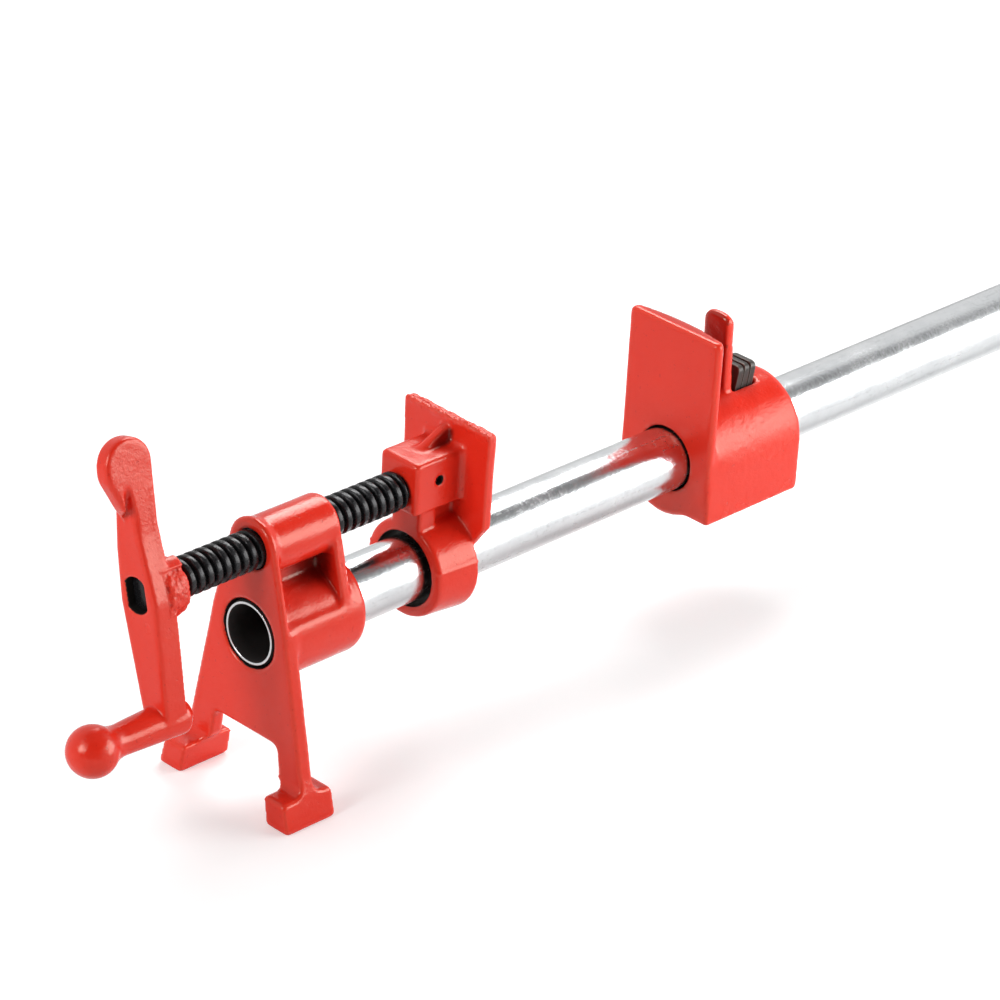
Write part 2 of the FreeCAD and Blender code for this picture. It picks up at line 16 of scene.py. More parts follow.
import bmesh
import bpy
import numpy as np
from mathutils import Matrix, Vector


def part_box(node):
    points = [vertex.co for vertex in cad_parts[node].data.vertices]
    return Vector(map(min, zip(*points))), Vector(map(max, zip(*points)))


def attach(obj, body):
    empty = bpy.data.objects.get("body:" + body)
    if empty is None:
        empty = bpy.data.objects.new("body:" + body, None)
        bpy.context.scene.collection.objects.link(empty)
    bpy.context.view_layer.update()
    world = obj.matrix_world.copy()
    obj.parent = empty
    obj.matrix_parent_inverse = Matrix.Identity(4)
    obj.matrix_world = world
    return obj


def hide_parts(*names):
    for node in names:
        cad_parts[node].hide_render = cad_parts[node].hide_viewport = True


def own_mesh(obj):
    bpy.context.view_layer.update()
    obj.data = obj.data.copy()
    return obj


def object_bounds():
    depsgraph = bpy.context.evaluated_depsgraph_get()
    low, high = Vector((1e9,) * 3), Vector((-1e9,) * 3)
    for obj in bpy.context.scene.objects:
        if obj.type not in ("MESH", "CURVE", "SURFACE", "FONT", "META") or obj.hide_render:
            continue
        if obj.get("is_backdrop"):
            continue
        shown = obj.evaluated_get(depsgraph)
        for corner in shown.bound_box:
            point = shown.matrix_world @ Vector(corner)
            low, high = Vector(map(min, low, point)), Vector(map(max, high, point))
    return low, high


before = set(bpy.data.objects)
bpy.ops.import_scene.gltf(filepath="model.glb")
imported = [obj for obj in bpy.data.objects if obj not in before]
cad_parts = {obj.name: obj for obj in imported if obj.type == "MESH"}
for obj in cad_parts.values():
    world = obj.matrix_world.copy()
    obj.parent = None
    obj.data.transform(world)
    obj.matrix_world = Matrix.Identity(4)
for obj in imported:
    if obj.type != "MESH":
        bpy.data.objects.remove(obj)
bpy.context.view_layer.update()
print("solids", sorted(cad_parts))

# %% [markdown]
# ## One ruler for the whole clamp
#
# Drawing a part is easier in millimetres from a place that means something to its maker. On
# this clamp that place is the middle of the pipe's hole, in the head's front face: X runs
# down the pipe, and Z = 0 is the pipe's axis. Blender wants metres from the frame's own
# origin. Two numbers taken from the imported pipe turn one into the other, once it is known
# how far the pipe's end stands back from the head's face.

# %% From the maker's millimetres to the frame's metres
MM = 0.001
PIPE_START = 0.5              # the pipe ends this far behind the head's front face
SCREW_Z = 36.5                # screw axis above the pipe's axis
BENCH_Z = -69.0
CRANK_TURN = math.radians(14.0)
PLATE_LEAN = math.radians(11.0)
pipe_low, pipe_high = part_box("pipe")
FRONT_FACE = np.array([pipe_low.x - PIPE_START * MM, 0.0, (pipe_low.z + pipe_high.z) / 2])


def to_frame(points):
    """Maker's millimetres (x, y, z) to the frame's metres: scale by a thousandth, then shift."""
    return points * MM + FRONT_FACE


def to_maker(points):
    """The frame's metres back to the maker's millimetres."""
    return (points - FRONT_FACE) / MM


print("front face of the head at", FRONT_FACE.round(5))

# %% [markdown]
# ## The camera
#
# The clamp is seen from above its left front corner with a long lens, so its parallel edges
# stay nearly parallel. A camera's matrix has its right, up and backward directions as
# columns. Building it from those three is clearer than stacking Euler angles, because the
# small roll of a hand-held shot turns only the first two.
#
# The view transform is set to Standard here too. Blender's default one rolls bright colours
# off like film does, which would grey the white floor and wash the red out.

# %% Aim the camera
CAMERA_AZIMUTH = math.radians(-46.41)
CAMERA_ELEVATION = math.radians(27.755)
CAMERA_ROLL = math.radians(3.44)
CAMERA_PLACE = np.array([-1104.36, -1178.59, 912.20])
CAMERA_LENS = 176.3           # for a sensor 36 mm wide


def new_object(name, data):
    """An object at the origin that holds the mesh, camera or lamp, linked to the scene."""
    thing = bpy.data.objects.new(name, data)
    bpy.context.scene.collection.objects.link(thing)
    return thing


def stand(thing, right, up, back, spot):
    """Sets a matrix whose columns are the directions right, up and backward, and the spot."""
    matrix = np.eye(4)
    matrix[:3] = np.stack([right, up, back, spot], axis=1)
    thing.matrix_world = Matrix(matrix.tolist())


def unit(vectors):
    """Each vector over its own length."""
    return vectors / np.linalg.norm(vectors, axis=-1, keepdims=True)


# backward comes from azimuth and elevation, right = forward x up, and the roll turns both
camera_back = np.array([math.sin(CAMERA_AZIMUTH) * math.cos(CAMERA_ELEVATION),
                        -math.cos(CAMERA_AZIMUTH) * math.cos(CAMERA_ELEVATION),
                        math.sin(CAMERA_ELEVATION)])
level = unit(np.cross(-camera_back, [0, 0, 1]))
upward = np.cross(level, -camera_back)
camera_right = level * math.cos(CAMERA_ROLL) + upward * math.sin(CAMERA_ROLL)
camera_up = upward * math.cos(CAMERA_ROLL) - level * math.sin(CAMERA_ROLL)
lens = bpy.data.cameras.new("camera")
lens.sensor_width = 36.0
lens.lens = CAMERA_LENS
camera = new_object("camera", lens)
stand(camera, camera_right, camera_up, camera_back, to_frame(CAMERA_PLACE))
bpy.context.scene.camera = camera
bpy.context.scene.view_settings.view_transform = "Standard"
print("camera at", to_frame(CAMERA_PLACE).round(3))

# %% [markdown]
# ## Helpers for shader nodes
#
# Every finish here is a small network of nodes. Two helpers keep them readable: one feeds an
# input, by a link or with a plain value, and one adds a node and feeds its inputs by name.
# The rest is arithmetic that comes up again and again. A socket knows its own tree.

# %% Place and feed nodes
def feed(value, socket):
    """Joins another node's output to an input, or fills the input with a plain value."""
    if isinstance(value, bpy.types.NodeSocket):
        socket.id_data.links.new(value, socket)
    else:
        socket.default_value = value


def place(tree, kind, inputs=None, **settings):
    """Adds a node, sets its properties, and feeds the inputs, given by name or number."""
    node = tree.nodes.new(kind)
    for key, value in settings.items():
        setattr(node, key, value)
    for key, value in (inputs or {}).items():
        feed(value, node.inputs[key])
    return node


def maths(operation, first, second):
    """A Math node on two inputs, each a socket or a plain number, but not both numbers."""
    tree = next(v.id_data for v in (first, second) if isinstance(v, bpy.types.NodeSocket))
    return place(tree, "ShaderNodeMath", {0: first, 1: second}, operation=operation).outputs[0]


def times(first, second):
    return maths("MULTIPLY", first, second)


def add_share(base, value, share):
    """base + share * value"""
    return maths("ADD", base, times(value, share))


def ramp_between(value, low, high, start=0.0, end=1.0):
    """A smooth Map Range: value from low to high becomes start to end, and stays inside them."""
    inputs = {"Value": value, "From Min": low, "From Max": high, "To Min": start, "To Max": end}
    ramp = place(value.id_data, "ShaderNodeMapRange", inputs, interpolation_type="SMOOTHSTEP")
    return ramp.outputs["Result"]


def blend_colours(share, first, second):
    """A colour Mix node; share is a socket, first and second are sockets or colours."""
    node = place(share.id_data, "ShaderNodeMix", {0: share}, data_type="RGBA")
    ends = [socket for socket in node.inputs if socket.type == "RGBA"]
    feed(first, ends[0])
    feed(second, ends[1])
    return next(socket for socket in node.outputs if socket.type == "RGBA")


def object_place(tree):
    return place(tree, "ShaderNodeTexCoord").outputs["Object"]


def bare_material(name):
    """A material with an empty node tree."""
    material = bpy.data.materials.new(name)
    material.use_nodes = True
    material.node_tree.nodes.clear()
    return material


print("node helpers ready")

# %% [markdown]
# ## A white studio
#
# The clamp stands on a white sweep. Glossy paint and bright zinc show whatever is around
# them, so the surroundings matter as much as the lamps. The sweep rises behind the clamp,
# the near right side is open and bright, and the room over the camera is dark. That dark
# ceiling draws the long grey band along the top of the pipe and the deep red gaps between
# the highlights of the round bosses.
#
# The near left corner of the room is dark as well. Faces that turn that way get little
# light, which is what draws a deep red line along each edge between two lit faces.
#
# The world tells rays apart with a Light Path node. The camera sees plain white, gloss sees
# the sweep and the dark parts of the room, and matt surfaces get a share of the same light.

# %% World
SWEEP_LIGHT = 0.84
NEAR_SIDE_LIGHT = 0.36        # what the open near side adds to the sweep
CEILING_SHARE = 0.20          # what is left of the sweep's light overhead
CORNER_SHARE = 0.15           # and in the near left corner, which lies this way:
CORNER_WAY = (-0.66, -0.62, 0.42)
MATT_SHARE = 0.60             # matt surfaces get this much of the light that gloss sees

world = bpy.data.worlds.new("studio")
world.use_nodes = True
bpy.context.scene.world = world
sky = world.node_tree
sky.nodes.clear()
way = place(sky, "ShaderNodeTexCoord").outputs["Generated"]
split = place(sky, "ShaderNodeSeparateXYZ", {0: way}).outputs
near_side = ramp_between(split["Y"], -0.45, 0.05, 1.0, 0.0)
sweep = add_share(SWEEP_LIGHT, near_side, NEAR_SIDE_LIGHT)
overhead = maths("SUBTRACT", split["Z"], times(split["Y"], 0.25))
sweep = times(sweep, ramp_between(overhead, 0.67, 0.74, 1.0, CEILING_SHARE))
corner = place(sky, "ShaderNodeVectorMath", {0: way, 1: CORNER_WAY}, operation="DOT_PRODUCT")
sweep = times(sweep, ramp_between(corner.outputs["Value"], 0.45, 0.85, 1.0, CORNER_SHARE))
path = place(sky, "ShaderNodeLightPath").outputs
straight = maths("MAXIMUM", path["Is Camera Ray"], path["Is Transmission Ray"])
gloss_part = times(path["Is Glossy Ray"], 1.0 - MATT_SHARE)
indirect = times(sweep, maths("ADD", gloss_part, MATT_SHARE))
strength = maths("ADD", indirect, times(straight, maths("SUBTRACT", 1.0, indirect)))
background = place(sky, "ShaderNodeBackground", {"Color": (1, 1, 1, 1), "Strength": strength})
place(sky, "ShaderNodeOutputWorld", {"Surface": background.outputs[0]})
print("world fill", MATT_SHARE)

# %% [markdown]
# The floor has to be white and still hold a shadow. A matt white plane alone turns grey
# where the lamps are weak. So the camera also sees a little glow from it, while the shadow
# still darkens the matt part. Mirror-like rays see less of that glow: under a bright pipe
# the paper looks a shade greyer than straight on. Far from the clamp, where no shadow
# falls and the lamps no longer reach, the glow rises until the paper is plain white.

# %% Floor
FLOOR_REACH = 6.0             # metres from the middle to each side
PAPER = (0.80, 0.80, 0.80, 1)
FLOOR_GLOW = 0.33             # near the clamp; it rises to 1 between these distances in metres:
GLOW_RISE = (0.38, 0.90)
MIRRORED_SHARE = 0.15

paper = bare_material("white_sweep")
tree = paper.node_tree
matt = place(tree, "ShaderNodeBsdfDiffuse", {"Color": PAPER})
ray = place(tree, "ShaderNodeLightPath").outputs
mirrored = times(ray["Is Glossy Ray"], MIRRORED_SHARE)
seen = maths("MAXIMUM", ray["Is Camera Ray"], mirrored)
away = place(tree, "ShaderNodeVectorMath", {0: object_place(tree)}, operation="LENGTH")
rise = ramp_between(away.outputs["Value"], *GLOW_RISE, FLOOR_GLOW, 1.0)
glow = place(tree, "ShaderNodeEmission", {"Strength": times(seen, rise)})
both = place(tree, "ShaderNodeAddShader", {0: matt.outputs[0], 1: glow.outputs[0]})
place(tree, "ShaderNodeOutputMaterial", {"Surface": both.outputs[0]})
mesh = bpy.data.meshes.new("floor")
square = FLOOR_REACH * np.array([[-1, -1, 0], [1, -1, 0], [1, 1, 0], [-1, 1, 0]])
mesh.from_pydata(square.tolist(), [], [(0, 1, 2, 3)])
mesh.materials.append(paper)
floor = new_object("floor", mesh)
floor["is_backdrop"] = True
print("floor laid")

# %% [markdown]
# The soft boxes are rectangular area lamps that the camera doesn't see. Each is placed by
# the direction in which it is mirrored: the first stands to the left of the camera and makes
# the bright window on the ball knob. The second stands near the floor at the right and draws
# the lower pink band along the round bosses. The third hangs close over the back of the
# clamp and draws the upper band. It is small and near, so the pipe's far end mirrors the
# plain sweep instead.

# %% Soft boxes
LAMPS_AIM = np.array([40.0, 0.0, 20.0])


def soft_box(name, towards, distance, width, height, watts):
    """An area lamp at aim + distance * direction, turned so that it shines back at the aim."""
    towards = unit(np.array(towards))
    side = unit(np.cross([0, 0, 1], towards))
    lamp = bpy.data.lights.new(name, "AREA")
    lamp.shape = "RECTANGLE"
    lamp.size, lamp.size_y, lamp.energy = width, height, watts
    box = new_object(name, lamp)
    box.visible_camera = False
    spot = to_frame(LAMPS_AIM) + towards * distance
    stand(box, side, np.cross(towards, side), towards, spot)


window = 0.73 * camera_back - 0.65 * camera_right + 0.19 * camera_up
soft_box("window_left", window, 1.7, 0.75, 0.80, 18.5)
soft_box("window_right", (0.69, -0.69, 0.24), 1.1, 0.90, 0.62, 10.4)
soft_box("window_back", (0.61, 0.36, 0.705), 0.65, 0.36, 0.26, 2.6)
print("three soft boxes up")

# %% [markdown]
# ## Noise that numpy can bend a mesh with
#
# Sand castings are never quite flat. A bump map fakes that up close, but an outline needs
# real moves of the mesh. Value noise does it: random heights on a cubic lattice, blended
# between the eight corners round each point. It works on whole arrays, and the same seed
# gives the same casting each time.

# %% Lattice noise
LATTICE = 32                  # the random heights repeat after this many cells


def lattice_noise(points, size, seed):
    """Value noise from -1 to 1: corner heights blended with the smooth step 3t^2 - 2t^3."""
    heights = np.random.default_rng(seed).uniform(-1, 1, (LATTICE, LATTICE, LATTICE))
    cell = points / size
    low = np.floor(cell).astype(int)
    t = cell - low
    t = t * t * (3 - 2 * t)
    total = np.zeros(len(points))
    for corner in itertools.product((0, 1), repeat=3):
        share = np.prod(np.where(corner, t, 1 - t), axis=1)
        total += share * heights[tuple(((low + corner) % LATTICE).T)]
    return total


def layered_noise(points, layers, seed):
    """The sum of height * noise over layers of (height, size), with a seed each."""
    return sum(height * lattice_noise(points, size, seed + k)
               for k, (height, size) in enumerate(layers))


def soft_step(value, low, high):
    """0 below low, 1 above high, and 3t^2 - 2t^3 between them."""
    t = np.clip((value - low) / (high - low), 0, 1)
    return t * t * (3 - 2 * t)


def between(value, low, high):
    return (value > low) & (value < high)


trial = lattice_noise(np.random.default_rng(1).uniform(0, 50, (5000, 3)), 3.0, 4)
print("noise spread", trial.min().round(2), trial.max().round(2))

# %% [markdown]
# ## A skin for the castings
#
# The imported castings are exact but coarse: flat facets, knife edges, and triangles of every
# size. Paint on iron has none of those. Three ways are open. Subdivision needs clean quads,
# which booleans don't leave. A Bevel modifier fails on loose triangles. A voxel remesh wraps
# the solid in an even skin of small quads, whatever it was made of, so that is used here.
#
# The skin still shows the old facets, so it is relaxed: each point moves towards the middle
# of its neighbours, but only as far as their normals agree. Shallow facets melt into one
# curve, and real edges stay. Relaxing also shrinks a round boss a little, so what was lost
# on the large scale is put back.

# %% Wrap a solid
def merged_copy(node):
    """The node's mesh with its loose triangles welded at their shared corners."""
    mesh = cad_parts[node].data.copy()
    welded = bmesh.new()
    welded.from_mesh(mesh)
    bmesh.ops.remove_doubles(welded, verts=welded.verts, dist=1e-6)
    welded.to_mesh(mesh)
    welded.free()
    return mesh


def voxel_skin(node, voxel_mm):
    """An even quad skin of the node, from a Remesh modifier that is evaluated and kept."""
    carrier = new_object("carrier", merged_copy(node))
    wrap = carrier.modifiers.new("wrap", "REMESH")
    wrap.mode = "VOXEL"
    wrap.voxel_size = voxel_mm * MM
    wrap.use_smooth_shade = True
    graph = bpy.context.evaluated_depsgraph_get()
    skin = bpy.data.meshes.new_from_object(carrier.evaluated_get(graph))
    bpy.data.objects.remove(carrier)
    return skin


def read_rows(items, attribute, width, kind):
    """One attribute of every point, normal or edge, as an array with that many columns."""
    flat = np.empty(len(items) * width, kind)
    items.foreach_get(attribute, flat)
    return flat.reshape(-1, width)


def read_points(mesh):
    return read_rows(mesh.vertices, "co", 3, np.float32).astype(float)


def read_normals(mesh):
    return read_rows(mesh.vertex_normals, "vector", 3, np.float32).astype(float)


def write_points(mesh, points):
    mesh.vertices.foreach_set("co", points.astype(np.float32).ravel())
    mesh.update()


def write_masks(mesh, **masks):
    """Per-point numbers that the materials can read with an Attribute node."""
    for name, values in masks.items():
        layer = mesh.attributes.new(name, "FLOAT", "POINT")
        layer.data.foreach_set("value", values.astype(np.float32))


print("skin helpers ready")

# %% Relax a skin and keep its edges
EDGE_KEEP = 0.05              # 1 - n.n' at which a point's hold on its neighbour falls to 1/e
LEAST_HOLD = 1e-4             # so that no point is left without any neighbour


def neighbour_mean(values, edges, weights):
    """Each point's weighted mean of its neighbours: sum of w * value over sum of w."""
    count = len(values)
    first, second = edges.T
    total = np.empty_like(values)
    for k in range(values.shape[1]):
        total[:, k] = (np.bincount(first, weights * values[second, k], count)
                       + np.bincount(second, weights * values[first, k], count))
    share = np.bincount(first, weights, count) + np.bincount(second, weights, count)
    return total / np.maximum(share, 1e-9)[:, None], share


def relaxed(values, edges, weights, rounds):
    """Repeats value + strength * (neighbour mean - value); the strength falls where weights do."""
    for _ in range(rounds):
        mean, share = neighbour_mean(values, edges, weights)
        strength = 0.5 * np.minimum(share / 3.0, 1.0)[:, None]
        values = values + strength * (mean - values)
    return values


def melt_facets(mesh, rounds):
    """Relaxes the skin with weights exp(-(1 - n.n') / EDGE_KEEP), which drop to nothing across
    a real edge, then relaxes what was lost in the same way and adds it back, which undoes the
    shrinking. A plain round before and after takes off the steps of the voxels."""
    edges = read_rows(mesh.edges, "vertices", 2, np.int32)
    plain = np.ones(len(edges))
    write_points(mesh, relaxed(read_points(mesh), edges, plain, 1))
    normals = read_normals(mesh)
    agree = np.sum(normals[edges[:, 0]] * normals[edges[:, 1]], axis=1)
    weights = np.exp(-(1 - agree) / EDGE_KEEP) + LEAST_HOLD
    before = read_points(mesh)
    after = relaxed(before, edges, weights, rounds)
    lost = relaxed(before - after, edges, weights, rounds)
    write_points(mesh, after + lost)
    write_points(mesh, relaxed(read_points(mesh), edges, plain, 1))


def bend_measure(mesh):
    """How far each point stands above the mean of its neighbours, along its normal, over the
    edge length: positive on an outer edge, negative in a corner."""
    points = read_points(mesh)
    edges = read_rows(mesh.edges, "vertices", 2, np.int32)
    plain = np.ones(len(edges))
    mean, _ = neighbour_mean(points, edges, plain)
    spacing = np.mean(np.linalg.norm(points[edges[:, 0]] - points[edges[:, 1]], axis=1))
    bend = np.sum((points - mean) * read_normals(mesh), axis=1, keepdims=True) / spacing
    return relaxed(bend, edges, plain, 2)[:, 0]


print("relaxing ready")

# %% [markdown]
# Each casting then gets the marks of its mould. A slow swell of a few hundredths of a
# millimetre makes the highlights wander, as they do on hand-fettled iron. A finer lumpiness
# comes in only where a mask says that the sand was coarse. The masks are kept on the mesh,
# so the paint can be rougher there too.

# %% Cast surface and finishing of a piece
SWELLS = ((0.045, 7.0), (0.022, 2.6))     # each a height and a size in millimetres
LUMPS = ((0.11, 1.9), (0.14, 1.05))
EDGE_BEND = (0.03, 0.16)                  # the bend at which an edge's mask begins and is full
FAR_OUTSIDE = -9.0


def finish_piece(name, mesh, body, materials, stands_for):
    """Makes the object at the origin, hands it its materials, hangs it on its body's empty
    and hides the solid it stands for.
    """
    piece = new_object(name, mesh)
    mesh.materials.clear()
    for material in materials:
        mesh.materials.append(material)
    mesh.polygons.foreach_set("use_smooth", np.ones(len(mesh.polygons), bool))
    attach(piece, body)
    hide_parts(stands_for)
    print(f"{name}: {sum(len(p.vertices) - 2 for p in mesh.polygons)} triangles")
    return piece


def cast_skin(node, voxel_mm, rounds, seed, coarse=None, reshape=None, bored=None, recess=None):
    """Wraps a casting and works its surface. coarse(maker points) gives the rough-sand mask,
    reshape(points, normals) moves them, and bored(points) is the depth inside a
    machined hole in millimetres, which crosses zero smoothly at the hole's rim.
    The last argument gives 1 where shade is painted into the colour, in deep corners."""
    mesh = voxel_skin(node, voxel_mm)
    melt_facets(mesh, rounds)
    points = to_maker(read_points(mesh))
    normals = read_normals(mesh)
    nowhere = np.zeros(len(points))
    rough = coarse(points) if coarse else nowhere
    depth = bored(points) if bored else nowhere + FAR_OUTSIDE
    hole = soft_step(depth, -0.1, 0.3)
    relief = layered_noise(points, SWELLS, seed) + rough * layered_noise(points, LUMPS, seed + 2)
    points = points + normals * (relief * (1 - hole))[:, None]
    if reshape:
        points = reshape(points, normals)
    write_points(mesh, to_frame(points))
    bend = bend_measure(mesh)
    write_masks(mesh, outer_edge=soft_step(bend, *EDGE_BEND),
                inner_corner=soft_step(-bend, *EDGE_BEND), coarse_sand=rough,
                hole_depth=np.clip(depth, -3, 3), recess=recess(points) if recess else nowhere)
    return mesh


def round_distance(points, z=0.0):
    """Distance of each point from the line along X at that height."""
    return np.hypot(points[:, 1], points[:, 2] - z)


print("casting recipe ready")

# %% [markdown]
# ## Finishes
#
# Two effects turn up in more than one finish, so each is a node group. *Sand skin* gives
# the orange peel, pits and lumps of a painted casting as a height. *Worked steel* gives the
# fine long streaks that drawing or rolling leaves, as a mask.

# %% Node groups: sand skin and worked steel
def new_group(name, numbers, outputs):
    """An empty shader group that is given a Place and some numbers, and puts out numbers."""
    group = bpy.data.node_groups.new(name, "ShaderNodeTree")
    group.interface.new_socket("Place", in_out="INPUT", socket_type="NodeSocketVector")
    for label, usual in numbers.items():
        socket = group.interface.new_socket(label, in_out="INPUT", socket_type="NodeSocketFloat")
        socket.default_value = usual
    for label in outputs:
        group.interface.new_socket(label, in_out="OUTPUT", socket_type="NodeSocketFloat")
    return group, group.nodes.new("NodeGroupInput").outputs


def noise(vector, per_mm, detail=2.0, roughness=0.5):
    """Noise with about that many features per millimetre, read from object metres."""
    inputs = {"Vector": vector, "Scale": per_mm * 1000, "Detail": detail, "Roughness": roughness}
    return place(vector.id_data, "ShaderNodeTexNoise", inputs).outputs["Fac"]


def build_sand_skin():
    """Height in millimetres: slow swell + orange peel + coarse lumps where asked - small pits."""
    group, given = new_group("sand_skin", {"Peel": 0.02, "Coarse": 0.0},
                             ("Height", "Pits", "Cloud"))
    spot = given["Place"]
    pits = ramp_between(noise(spot, 0.6, 1.0), 0.70, 0.76)
    lumpy = times(maths("MINIMUM", given["Coarse"], 0.8), 0.30)
    height = times(noise(spot, 0.12), 0.10)
    height = add_share(height, noise(spot, 0.95, 3.0, 0.6), given["Peel"])
    height = add_share(height, noise(spot, 1.25, 3.0, 0.65), lumpy)
    height = maths("SUBTRACT", height, times(pits, 0.05))
    cloud = noise(spot, 0.045, 3.0, 0.6)
    place(group, "NodeGroupOutput", {"Height": height, "Pits": pits, "Cloud": cloud})
    return group


def build_worked_steel():
    """Streaks: noise read from a place squeezed along X, so each feature is long and thin."""
    group, given = new_group("worked_steel", {"Along": 0.04, "Fineness": 1.0},
                             ("Streaks", "Smudge"))
    split = place(group, "ShaderNodeSeparateXYZ", {0: given["Place"]}).outputs
    squeezed = place(group, "ShaderNodeCombineXYZ", {
        "X": times(split["X"], given["Along"]), "Y": split["Y"], "Z": split["Z"]})
    scaled = place(group, "ShaderNodeVectorMath", operation="SCALE", inputs={
        0: squeezed.outputs[0], "Scale": given["Fineness"]})
    streaks = noise(scaled.outputs[0], 0.9, 4.0, 0.65)
    smudge = noise(given["Place"], 0.06, 4.0, 0.6)
    place(group, "NodeGroupOutput", {"Streaks": streaks, "Smudge": smudge})
    return group


SAND_SKIN = build_sand_skin()
WORKED_STEEL = build_worked_steel()
print("groups", [g.name for g in bpy.data.node_groups])

# %% [markdown]
# ### Red enamel over cast iron
#
# The castings are dipped in a bright red enamel. It is glossy, so it needs a low roughness
# and an honest bump, not a strong one. Its colour carries painted light: lighter along outer
# edges, a painted highlight, and darker in inner corners, a painted shade. A mask darkens
# deep hollows nearly to black, a stronger painted shade. The bored holes are bare iron, and
# painted shade turns the same material nearly black there.

# %% Enamel
def mask(tree, name):
    return place(tree, "ShaderNodeAttribute", attribute_name=name).outputs["Fac"]


def placed_group(tree, group, **numbers):
    """The outputs of a node group that reads Object coordinates and is given those numbers."""
    inputs = {"Place": object_place(tree), **numbers}
    return place(tree, "ShaderNodeGroup", inputs, node_tree=group).outputs


def new_finish(name, build):
    """A material with a Principled shader. build(tree) gives a height in millimetres, which a
    Bump node (its Distance is in metres) makes into the Normal, and the shader's other inputs."""
    material = bare_material(name)
    tree = material.node_tree
    height_mm, inputs = build(tree)
    bump = place(tree, "ShaderNodeBump", {"Strength": 1.0, "Distance": MM, "Height": height_mm})
    shader = place(tree, "ShaderNodeBsdfPrincipled", {"Normal": bump.outputs[0], **inputs})
    place(tree, "ShaderNodeOutputMaterial", {"Surface": shader.outputs[0]})
    return material


def enamel(tree):
    sand = mask(tree, "coarse_sand")
    skin = placed_group(tree, SAND_SKIN, Peel=0.10, Coarse=sand)
    bare_and_shaded = ramp_between(mask(tree, "hole_depth"), -0.06, 0.06)
    red = blend_colours(skin["Cloud"], (0.70, 0.021, 0.009, 1), (0.77, 0.029, 0.013, 1))
    # painted light: a highlight along outer edges, shade in inner corners and deep hollows
    for where, share, colour in (
            (mask(tree, "outer_edge"), 0.30, (0.90, 0.080, 0.045, 1)),
            (mask(tree, "inner_corner"), 0.60, (0.40, 0.006, 0.004, 1)),
            (skin["Pits"], 0.35, (0.45, 0.010, 0.007, 1)),
            (mask(tree, "recess"), 0.80, (0.10, 0.004, 0.004, 1))):
        red = blend_colours(times(where, share), red, colour)
    # bare iron in the holes, darkened nearly to black as painted shade
    red = blend_colours(bare_and_shaded, red, (0.008, 0.007, 0.007, 1))
    shine = ramp_between(skin["Cloud"], 0.35, 0.65, 0.10, 0.15)
    shine = maths("ADD", shine, maths("MINIMUM", sand, 0.13))
    shine = maths("SUBTRACT", shine, ramp_between(sand, 0.9, 1.8, 0.0, 0.10))
    shine = add_share(shine, bare_and_shaded, 0.35)
    return skin["Height"], {
        "Base Color": red, "Roughness": shine, "Specular IOR Level": 0.45,
        "Specular Tint": (1.0, 0.90, 0.76, 1)}


RED_ENAMEL = new_finish("red_enamel", enamel)
print("enamel mixed")

# %% [markdown]
# ### Zinc, black oxide, plate steel and spring steel
#
# Galvanised pipe is bright zinc with long drawing streaks, faint smudges and a fine grain
# that frays the edge of each reflection. Where its thread was cut it is duller, with dirt in
# the grooves, and two masks say where that is. The screw is black oxide: almost black in
# its grooves and rubbed to a dull grey shine on the crests. The clutch plates are darker
# and browner than the pipe, with worn edges, and the spring is plain steel wire.

# %% Zinc
def zinc(tree):
    steel = placed_group(tree, WORKED_STEEL, Along=0.030, Fineness=0.9)
    grain = noise(object_place(tree), 0.55, 5.0, 0.65)
    dull = ramp_between(maths("ADD", steel["Streaks"], grain), 1.00, 1.34, 0.0, 0.55)
    tone = blend_colours(steel["Smudge"], (0.62, 0.645, 0.665, 1), (0.85, 0.858, 0.865, 1))
    tone = blend_colours(dull, tone, (0.46, 0.47, 0.48, 1))
    tone = blend_colours(times(mask(tree, "groove"), 0.75), tone, (0.20, 0.20, 0.205, 1))
    shine = ramp_between(steel["Smudge"], 0.35, 0.68, 0.15, 0.23)
    shine = add_share(shine, dull, 0.25)
    shine = add_share(shine, mask(tree, "cut_thread"), 0.20)
    height = add_share(times(steel["Streaks"], 0.004), grain, 0.075)
    return height, {"Base Color": tone, "Metallic": 1.0, "Roughness": shine}


# painted shade: the pipe's bore and the bevel in the head are coloured near-black
def dark_bore(tree):
    skin = placed_group(tree, SAND_SKIN, Peel=0.08)
    bore_shade = blend_colours(skin["Cloud"], (0.006, 0.006, 0.007, 1), (0.022, 0.017, 0.014, 1))
    return skin["Height"], {
        "Base Color": bore_shade, "Roughness": ramp_between(skin["Pits"], 0.0, 1.0, 0.75, 0.95)}


ZINC = new_finish("zinc_steel", zinc)
PIPE_INSIDE = new_finish("pipe_inside", dark_bore)
print("zinc and the pipe's inside ready")

# %% Black oxide, plate steel, spring steel
def black_oxide(tree):
    steel = placed_group(tree, WORKED_STEEL, Along=0.5, Fineness=1.2)
    rubbed = times(mask(tree, "crest"), ramp_between(steel["Streaks"], 0.35, 0.68))
    black = blend_colours(steel["Smudge"], (0.004, 0.004, 0.005, 1), (0.010, 0.010, 0.011, 1))
    black = blend_colours(times(rubbed, 0.5), black, (0.050, 0.050, 0.053, 1))
    return times(steel["Streaks"], 0.10), {
        "Base Color": black, "Metallic": times(rubbed, 0.4), "Specular IOR Level": 0.28,
        "Roughness": ramp_between(steel["Streaks"], 0.3, 0.7, 0.14, 0.30)}


def plate_steel(tree):
    skin = placed_group(tree, SAND_SKIN, Peel=0.05)
    brown = blend_colours(skin["Cloud"], (0.022, 0.018, 0.016, 1), (0.050, 0.041, 0.034, 1))
    worn = times(mask(tree, "outer_edge"), 0.5)
    return skin["Height"], {
        "Base Color": blend_colours(worn, brown, (0.22, 0.20, 0.18, 1)),
        "Metallic": add_share(0.25, worn, 0.8),
        "Roughness": ramp_between(skin["Cloud"], 0.3, 0.7, 0.34, 0.50)}


